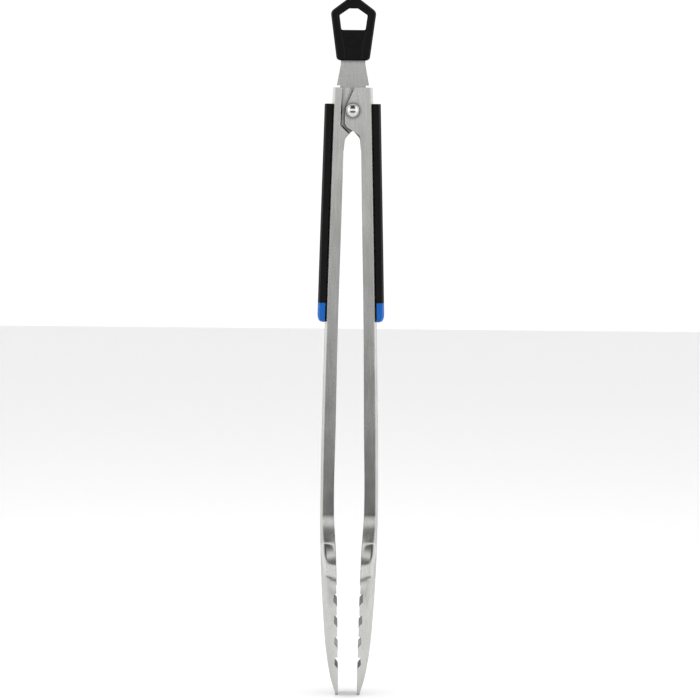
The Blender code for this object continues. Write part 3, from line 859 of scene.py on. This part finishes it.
def build_arm():
    """One arm: the bent sheet, its two ears, the pin's hole and the notches in its rims."""
    sheet = sections_mesh([arm_section(h) for h in ARM_HEIGHTS])
    one_side = HALF_CHANNEL + 0.002
    near, far = one_side * 0.2, one_side * 1.2
    outer_ear = ear_outline(0.0022, [(0.0050, -0.0162, 0.0016)])
    inner_ear = ear_outline(0.0032, [(0.0010, -0.0140, 0.0), (0.0048, -0.0184, 0.004)])
    cutters = [slab(outer_ear, -far, -near), slab(inner_ear, near, far)]
    hole = [Vector((PIN_HOLE * cos(a), PIN_HOLE * sin(a))) for a in circle(48)]
    cutters.append(slab(hole, -far, far))
    for k in range(NOTCH_COUNT):
        top = from_tip(NOTCH_TOP_FROM_TIP - k * NOTCH_PITCH)
        foot = top - NOTCH_LENGTH
        wall_foot = top - NOTCH_WALL
        outside = through(RIM, foot) - NOTCH_DEPTH
        outline = rounded(
            [
                (outside, top, 0),
                (through(RIM, top) + NOTCH_DEPTH - NOTCH_UNDERCUT, top, 0.0003),
                (through(RIM, wall_foot) + NOTCH_DEPTH, wall_foot, 0.0012),
                (through(RIM, foot), foot, 0),
                (outside, foot, 0),
            ],
            steps=4,
        )
        cutters.append(slab(outline, -0.025, 0.025))
    return smooth(cut(sheet, *cutters), 28)


def circle(count):
    return [2 * pi * k / count for k in range(count)]


# Grips --------------------------------------------------------------------------------------------


def saddle_section(height, low, high, lap, half=HALF_GRIP, inside=HALF_CHANNEL + CLEARANCE):
    """A section over the arm's back: a crowned top with broken edges, and two side walls."""
    back = through(BACK, height)
    crown = high - GRIP_CROWN
    crest = [(high - GRIP_CROWN * (k / 3) ** 2, k / 3 * (half - GRIP_EDGE_WIDE - 0.001)) for k in range(3)]
    side = [
        *[(x, y, 0) for x, y in crest],
        (crown, half - GRIP_EDGE_WIDE, 0.0006),
        (high - GRIP_EDGE_HIGH, half, 0.0004),
        (-lap, half, 0.00012),
        (-lap, inside, 0.00012),
        (low, inside, 0),
    ]
    outline = rounded([*side, *[(x, -y, radius) for x, y, radius in reversed(side[1:])]], steps=4)
    return [(back + p.x, p.y, height) for p in outline]


def build_grip():
    """The black moulding: the handle, and the thin tongue and lip under the coloured end."""
    end = GRIP_TOP - GRIP_LENGTH
    shoulder = end + GRIP_END_LENGTH
    body = [(GRIP_TOP - drop, GRIP_HEIGHT - low) for drop, low in ((0, 0.0004), (0.0001, 0.0002))]
    body += [(h, GRIP_HEIGHT) for h in spaced(GRIP_TOP - 0.0004, shoulder, 0.0050)]
    body += [(shoulder + 0.00015, GRIP_HEIGHT), (shoulder, GRIP_HEIGHT - 0.00015)]
    handle = sections_mesh([saddle_section(h, CLEARANCE, high, GRIP_LAP) for h, high in body])
    heights = [shoulder + 0.003, *spaced(shoulder - 0.001, end + 0.0003, 0.003), end + 0.0003]
    narrow = HALF_GRIP - END_WALL - CLEARANCE
    extras = [bar(heights, CLEARANCE, TONGUE_HEIGHT, -narrow, narrow)]
    for sign in (-1, 1):
        places = sorted((sign * (HALF_GRIP - GRIP_WALL), sign * (HALF_GRIP - 0.0001)))
        extras.append(bar(heights, -GRIP_LAP, -0.00006, *places))
    return smooth(cut(handle, *extras, operation="UNION"), 30)


def bar(heights, low, high, left, right):
    """A bar along the arm's back, between two heights above it and two places along Y."""
    square = [(low, left), (high, left), (high, right), (low, right)]
    return sections_mesh([[(through(BACK, h) + x, y, h) for x, y in square] for h in heights])


def build_grip_end():
    """The blue end, which straddles the tongue, with its lower outer corner rounded."""
    end = GRIP_TOP - GRIP_LENGTH
    top = end + GRIP_END_LENGTH - 0.00012
    rows = [(top, GRIP_HEIGHT - 0.00015)]
    rows += [(h, GRIP_HEIGHT) for h in spaced(top - 0.00015, end + END_FALL, 0.0012)]
    for k in range(11):
        angle = pi / 2 * k / 10
        drop = END_DROP * (1 - cos(angle))
        rows.append((end + END_FALL * (1 - sin(angle)) + 0.00002, GRIP_HEIGHT - drop))
    sections = []
    for height, high in rows:
        inwards = 0.0005 * ease((end + 0.0012 - height) / 0.0012)
        half = HALF_GRIP - inwards
        low = TONGUE_HEIGHT + CLEARANCE / 2
        sections.append(saddle_section(height, low, high, CAP_LAP, half, half - END_WALL))
    return smooth(sections_mesh(sections), 30)


def rivet_shape():
    """A grip rivet about the X axis, from its head's inner face: a low dome on a short shank."""
    profile = [(0.0, 0.0)]
    for degrees in (80, 60, 40, 20, 0):
        angle = radians(degrees)
        x = RIVET_HEAD * 0.55 * (1 - sin(angle))
        profile.append((x, RIVET_HEAD_RADIUS * (0.86 + 0.14 * cos(angle)) * (cos(angle) ** 0.5)))
    profile += [(RIVET_HEAD, RIVET_HEAD_RADIUS), (RIVET_HEAD, RIVET_RADIUS)]
    profile += [(RIVET_HEAD + 0.0040, RIVET_RADIUS), (RIVET_HEAD + 0.0040, 0.0)]
    work = bmesh.new()
    points = [work.verts.new((x, radius, 0.0)) for x, radius in profile]
    edges = [work.edges.new(pair) for pair in zip(points, points[1:])]
    bmesh.ops.spin(
        work, geom=points + edges, cent=(0, 0, 0), axis=(1, 0, 0), angle=2 * pi, steps=32,
        use_merge=True,
    )
    return smooth(as_mesh(work), 40)


def rivet_points():
    """Where the two rivets' heads start, inside the channel of the right arm."""
    mesh = bpy.data.meshes.new("rivet_points")
    places = []
    for drop in RIVET_DROPS:
        face = through(BACK, -drop) - SHEET - CLEARANCE - RIVET_HEAD
        places.append((face, 0.0, -drop))
    mesh.from_pydata(places, [], [])
    return mesh


# Pivot --------------------------------------------------------------------------------------------


def pivot_pieces():
    """The pin, its rear cap, the washers and the spacers, as turned profiles."""
    washer = HALF_CHANNEL + CLEARANCE
    head = washer + WASHER_THICKNESS + CLEARANCE
    shank_end = head + DOME_HEIGHT * 0.4
    edge = 0.0004

    def dome(radius):
        rise = DOME_HEIGHT - edge
        angles = [radians(5 * k) for k in range(17, -1, -1)]
        curve = [(radius * cos(a), -head - edge - rise * sin(a)) for a in angles]
        return [(0.0, -head - DOME_HEIGHT), *curve, (radius - 0.0001, -head)]

    pin = dome(DOME_RADIUS)
    pin += [(PIN_RADIUS, -head), (PIN_RADIUS, shank_end - 0.0003)]
    pin += [(PIN_RADIUS - 0.0003, shank_end), (0.0, shank_end)]
    shown("domed_pivot_pin", turned(pin), TURNED_STEEL, "pivot", "polished_steel", "pivot_pin")
    socket = [(0.0, shank_end + CLEARANCE), (PIN_HOLE, shank_end + CLEARANCE), (PIN_HOLE, head)]
    cap = socket + [(r, -y) for r, y in reversed(dome(CAP_RADIUS))]
    shown("rear_pivot_cap", turned(cap), TURNED_STEEL, "pivot", "polished_steel", "pivot_cap")

    def ring(radius, low, high, chamfer):
        return [
            (PIN_HOLE, low),
            (radius - chamfer, low),
            (radius, low + chamfer),
            (radius, high - chamfer),
            (radius - chamfer, high),
            (PIN_HOLE, high),
        ]

    for end, sign in (("front", -1), ("rear", 1)):
        low, high = sorted((sign * washer, sign * (washer + WASHER_THICKNESS)))
        thin = turned(ring(WASHER_RADIUS, low, high, 0.00015))
        name = f"{end}_washer"
        shown(f"{end}_pivot_washer", thin, TURNED_STEEL, "pivot", "polished_steel", name)
        low, high = sorted((sign * PLATE_SIDE, sign * (EAR_ROOM - CLEARANCE)))
        sleeve = turned(ring(SPACER_RADIUS, low, high, 0.0004))
        name = f"{end}_spacer"
        shown(f"{end}_coil_sleeve", sleeve, NYLON, "pivot", "white_nylon", name)


def spring_path(side, part):
    """Half a torsion spring's wire about the pivot, joined at the middle of its coil."""
    leg_end = Vector((through(BACK, -SPRING_LEG) - SHEET - WIRE / 2 - LEG_GAP, -SPRING_LEG))
    slope = atan2(leg_end.x - COIL_RADIUS, SPRING_LEG)
    turns = (pi - 2 * slope) + 2 * pi * COIL_TURNS
    near = PLATE_SIDE + WIRE / 2
    far = EAR_ROOM - CLEARANCE - WIRE / 2
    steps = 40 * COIL_TURNS + 20
    halves = {"left": range(0, steps // 2 + 1), "right": range(steps // 2, steps + 1)}
    coil = []
    for k in halves[part]:
        angle = pi - slope - turns * k / steps
        y = near + (far - near) * k / steps
        coil.append(Vector((COIL_RADIUS * cos(angle), side * y, COIL_RADIUS * sin(angle))))
    y = side * (near if part == "left" else far)
    reach = leg_end.x if part == "right" else -leg_end.x
    foot = Vector((reach, y, leg_end.y))
    corner = coil[0] if part == "left" else coil[-1]
    leg = [foot.lerp(corner, k / 12) for k in range(12)]
    return leg + coil if part == "left" else coil + leg[::-1]


def wire_curve(points):
    data = bpy.data.curves.new("wire_path", "CURVE")
    data.dimensions = "3D"
    spline = data.splines.new("POLY")
    spline.points.add(len(points) - 1)
    for point, place in zip(spline.points, points):
        point.co = (*place, 1.0)
    return data


def build_springs():
    """Each spring in two halves that meet in its coil, one leg on each half."""
    recipe = wire_recipe()
    near = PLATE_SIDE + WIRE
    far = EAR_ROOM - CLEARANCE - WIRE
    for end, side in (("front", -1), ("rear", 1)):
        for part, start in (("left", near), ("right", far)):
            wire = recipe.run(
                wire_curve(spring_path(side, part)),
                Radius=WIRE / 2 - 0.00002,
                Sides=16,
                Material=SPRING_WIRE,
            )
            work = bmesh.new()
            work.from_mesh(wire)
            mesh = smooth(as_mesh(work, TO_PIVOT), 50)
            name = f"{end}_spring_{part}_half"
            made = shown(name, mesh, SPRING_WIRE, None, "spring_wire")
            if part == "left":
                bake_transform(made)
                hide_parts(f"{end}_spring")
            else:
                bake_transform(made)


# Lock tab -----------------------------------------------------------------------------------------


def plate_top():
    return PIVOT_TO_HANG_FACE - HOLE_LENGTH - PLATE_TOP_FROM_HOLE


def build_plate():
    """The lock plate: a straight tang, a widening blade and a narrower neck, slotted for the pin."""
    half = [
        (PLATE_TANG, plate_top(), 0.001),
        (PLATE_TANG, TANG_FOOT, 0.004),
        (PLATE_SHOULDER, SHOULDER_HEIGHT, 0.0005),
        (PLATE_NECK, SHOULDER_HEIGHT + SHOULDER_RISE, 0),
        (PLATE_NECK, -PIN_HOLE - PLATE_FOOT, 0.003),
    ]
    slot = mirrored([(PIN_HOLE, PIN_HOLE + TAB_TRAVEL, 0.003), (PIN_HOLE, -PIN_HOLE, 0.003)])
    thick = PLATE_THICKNESS / 2
    plate = slab(rounded(mirrored(half)), -thick, thick)
    plate = cut(plate, slab(rounded(slot, 12), -3 * thick, 3 * thick))
    plate = eased(plate, 0.00018)
    plate.transform(TO_PIVOT)
    return smooth(plate)


def raised(outline, *levels):
    """A solid through copies of an outline, each inset by a distance at a place along Y."""
    rows = [[(p.x, y, p.y) for p in inset(outline, distance)] for distance, y in levels]
    return sections_mesh(rows)


def build_loop():
    """The hang loop: a rounded frame round a six-sided opening, with a sunk panel below it."""
    outline = rounded(
        mirrored(
            [
                (LOOP_TOP, LOOP_BAR, 0.0012),
                (LOOP_SHOULDER, -LOOP_SHOULDER_DROP, 0.0038),
                (LOOP_FOOT, LOOP_BAR - LOOP_LENGTH, 0.0025),
            ]
        )
    )
    hole = rounded(
        mirrored(
            [
                (HANG_FLAT, 0.0, 0.0004),
                (HOLE_SHOULDER, -HOLE_SHOULDER_DROP, 0.0012),
                (HOLE_FOOT, -HOLE_LENGTH, 0.0010),
            ]
        )
    )
    foot = LOOP_BAR - LOOP_LENGTH
    half = LOOP_THICKNESS / 2
    soft = [(0.00125, 0.0), (0.00100, 0.00008), (0.00012, 0.0011), (0.0, 0.0014)]
    soft = [(distance, deep - half) for distance, deep in soft]
    body = raised(outline, *soft, *[(distance, -y) for distance, y in reversed(soft)])
    deep = 0.0006
    flank = 0.0007
    step = 0.0020
    panel = [
        (HANG_FLAT + 0.0010, step * 0.85, 0.0008),
        (HOLE_SHOULDER + step, -HOLE_SHOULDER_DROP + 0.0006, 0.0016),
        (0.0062, -0.0262, 0.008),
        (0.0059, foot - 0.003, 0),
    ]
    panel = rounded(mirrored(panel))
    cutters = []
    for sign in (-1, 1):
        cutters.append(
            raised(
                panel,
                (0.0, sign * (half + 0.0004)),
                (0.0, sign * half),
                (flank, sign * (half - deep)),
            )
        )
        mouth = [(-0.0009, sign * (half - deep + 0.0003)), (0.0, sign * (half - deep - 0.0006))]
        cutters.append(raised(hole, *mouth))
    cutters.append(slab(hole, -LOOP_THICKNESS, LOOP_THICKNESS))
    top = plate_top() + CLEARANCE - PIVOT_TO_HANG_FACE
    pocket = mirrored([(PLATE_TANG + CLEARANCE, h, 0) for h in (top, foot - PLATE_FOOT)])
    cutters.append(slab(rounded(pocket), -PLATE_SIDE, PLATE_SIDE))
    loop = cut(body, *cutters)
    return smooth(loop, 26), half - deep


def build_ring(face):
    """A plain raised oval ring on the panel's front."""
    work = bmesh.new()
    centre = Vector((0.0, -0.0218))
    across, along, wide, high = 0.0042, 0.0034, 0.00045, 0.00022
    profile = [(-wide, 0.0001), (-wide * 0.7, -high * 0.8), (0, -high), (wide * 0.7, -high * 0.8)]
    profile.append((wide, 0.0001))
    count = 72
    rows = []
    for k in range(count):
        angle = 2 * pi * k / count
        out = Vector((cos(angle) / across, sin(angle) / along)).normalized()
        mid = centre + Vector((across * cos(angle), along * sin(angle)))
        row = [(mid + out * d, y) for d, y in profile]
        rows.append([work.verts.new((p.x, -face + y, p.y)) for p, y in row])
    for k in range(count):
        here, after = rows[k], rows[(k + 1) % count]
        for j in range(len(profile)):
            n = (j + 1) % len(profile)
            work.faces.new((here[j], here[n], after[n], after[j]))
    return smooth(as_mesh(work), 45)


# Assembly -----------------------------------------------------------------------------------------

for side, mesh in for_both(build_arm):
    shown(f"{side}_brushed_arm", mesh, ARM_STEEL, f"{side}_arm", "brushed_steel", f"{side}_arm")
for side, mesh in for_both(build_grip):
    shown(f"{side}_black_grip", mesh, GRIP_BLACK, f"{side}_arm", "black_plastic", f"{side}_grip")
for side, mesh in for_both(build_grip_end):
    name = f"{side}_blue_grip_end"
    shown(name, mesh, CAP_BLUE, f"{side}_arm", "blue_plastic", f"{side}_grip_end")

rivet = helper(rivet_shape())
rivets = rivet_recipe()
for side, mesh in for_both(lambda: rivets.run(rivet_points(), Rivet=rivet, Material=TURNED_STEEL)):
    hidden = [f"{side}_{place}_grip_rivet" for place in ("upper", "lower")]
    name = f"{side}_grip_rivets"
    shown(name, mesh, TURNED_STEEL, f"{side}_arm", "polished_steel", *hidden)
bpy.data.objects.remove(rivet)

pivot_pieces()
build_springs()
shown("slotted_lock_plate", build_plate(), PLATE_STEEL, "lock_tab", "brushed_steel", "lock_plate")
loop_mesh, panel_face = build_loop()
shown("moulded_hang_loop", loop_mesh, LOOP_BLACK, "lock_tab", "black_plastic", "hang_loop")
shown("raised_oval_ring", build_ring(panel_face), LOOP_BLACK, "lock_tab", "black_plastic")

# Stage --------------------------------------------------------------------------------------------

CAMERA_DISTANCE = 1.925
CAMERA_HEIGHT = 0.3983  # above the floor
CAMERA_PITCH = radians(5.038)
CAMERA_ROLL = radians(0.53)
CAMERA_ASIDE = -0.00033
FOCAL_SHARE = 4.2073  # the lens's focal length over the sensor's width
SENSOR = 36.0


def make_camera():
    data = bpy.data.cameras.new("camera")
    data.sensor_width = SENSOR
    data.lens = SENSOR * FOCAL_SHARE
    made = bpy.data.objects.new("camera", data)
    bpy.context.scene.collection.objects.link(made)
    place = Matrix.Translation((CAMERA_ASIDE, -CAMERA_DISTANCE, cad_low[2] + CAMERA_HEIGHT))
    look = Matrix.Rotation(pi / 2 - CAMERA_PITCH, 4, "X")
    made.matrix_world = place @ look @ Matrix.Rotation(CAMERA_ROLL, 4, "Z")
    bpy.context.scene.camera = made


def make_floor():
    """A plain white floor that the jaws' tips stand on."""
    reach = 0.33
    mesh = bpy.data.meshes.new("floor")
    corners = [(-3.0, -reach), (3.0, -reach), (3.0, 3.0), (-3.0, 3.0)]
    level = cad_low[2] - 0.0001
    mesh.from_pydata([(x, y, level) for x, y in corners], [], [(0, 1, 2, 3)])
    recipe = Recipe("white_floor").set(Roughness=0.6, Specular_IOR_Level=0.2)
    recipe.set(Base_Color=(0.9, 0.9, 0.9, 1), Emission_Color=(1, 1, 1, 1), Emission_Strength=0.22)
    mesh.materials.append(recipe.material)
    made = bpy.data.objects.new("floor", mesh)
    bpy.context.scene.collection.objects.link(made)


def make_world():
    """A white room with a darker opening and a dark band before and behind the object."""
    world = bpy.data.worlds.new("white_room")
    bpy.context.scene.world = world
    world.use_nodes = True
    tree = world.node_tree
    tree.nodes.clear()

    def node(kind, **inputs):
        made = tree.nodes.new(kind)
        for name, value in inputs.items():
            socket = made.inputs[name.replace("_", " ")]
            if isinstance(value, bpy.types.NodeSocket):
                tree.links.new(value, socket)
            else:
                socket.default_value = value
        return made

    way = node("ShaderNodeTexCoord").outputs["Generated"]
    split = node("ShaderNodeSeparateXYZ", Vector=way).outputs

    def math(operation, a, b=None):
        made = tree.nodes.new("ShaderNodeMath")
        made.operation = operation
        for socket, value in zip(made.inputs, (a, b)):
            if isinstance(value, bpy.types.NodeSocket):
                tree.links.new(value, socket)
            elif value is not None:
                socket.default_value = value
        return made.outputs[0]

    def ramp(value, stops):
        made = node("ShaderNodeValToRGB", Fac=value)
        elements = made.color_ramp.elements
        while len(elements) < len(stops):
            elements.new(0.5)
        for element, (position, level) in zip(elements, stops):
            element.position = position
            element.color = (level, level, level, 1.0)
        return made.outputs["Color"]

    # Height of the direction, from straight down (0) to straight up (1), level at 0.5.
    height = math("MULTIPLY_ADD", split["Z"], 0.5)
    height.node.inputs[2].default_value = 0.5
    across = math("ABSOLUTE", split["X"])
    facing = ramp(
        height,
        [
            (0.0, 0.85),
            (0.310, 0.85),
            (0.345, 0.08),
            (0.424, 0.02),
            (0.436, 0.10),
            (0.448, 0.34),
            (0.465, 0.60),
            (0.480, 0.68),
            (0.500, 0.68),
            (0.530, 1.20),
            (0.610, 1.20),
            (0.655, 0.20),
            (0.690, 0.06),
            (0.950, 0.06),
            (1.0, 0.6),
        ],
    )
    sides = ramp(height, [(0.0, 0.85), (0.40, 0.90), (0.47, 1.15), (1.0, 1.15)])
    share = ramp(across, [(0.0, 0.0), (0.32, 0.0), (0.60, 1.0), (1.0, 1.0)])
    room = node("ShaderNodeMix")
    room.data_type = "RGBA"
    tree.links.new(share, room.inputs[0])
    tree.links.new(facing, room.inputs[6])
    tree.links.new(sides, room.inputs[7])
    seen = node("ShaderNodeBackground", Color=(1, 1, 1, 1), Strength=1.05)
    strength = math("MULTIPLY_ADD", across, 0.30)
    strength.node.inputs[2].default_value = 1.0
    lit = node("ShaderNodeBackground", Color=room.outputs[2], Strength=strength)
    camera_ray = node("ShaderNodeLightPath").outputs["Is Camera Ray"]
    pick = tree.nodes.new("ShaderNodeMixShader")
    tree.links.new(camera_ray, pick.inputs[0])
    tree.links.new(lit.outputs[0], pick.inputs[1])
    tree.links.new(seen.outputs[0], pick.inputs[2])
    out = tree.nodes.new("ShaderNodeOutputWorld")
    tree.links.new(pick.outputs[0], out.inputs["Surface"])


def make_lamp(name, place, target, size, power):
    data = bpy.data.lights.new(name, "AREA")
    data.shape = "RECTANGLE"
    data.size, data.size_y = size
    data.energy = power
    made = bpy.data.objects.new(name, data)
    bpy.context.scene.collection.objects.link(made)
    made.visible_glossy = False
    place, target = Vector(place), Vector(target)
    made.matrix_world = Matrix.Translation(place) @ (
        (target - place).to_track_quat("-Z", "Y").to_matrix().to_4x4()
    )


make_camera()
make_floor()
make_world()
MIDDLE = (0, 0, (cad_low[2] + cad_high[2]) / 2)
make_lamp("top_softbox", (0.0, -0.15, 0.75), MIDDLE, (0.9, 0.9), 6.0)
bpy.context.scene.view_settings.view_transform = "Standard"
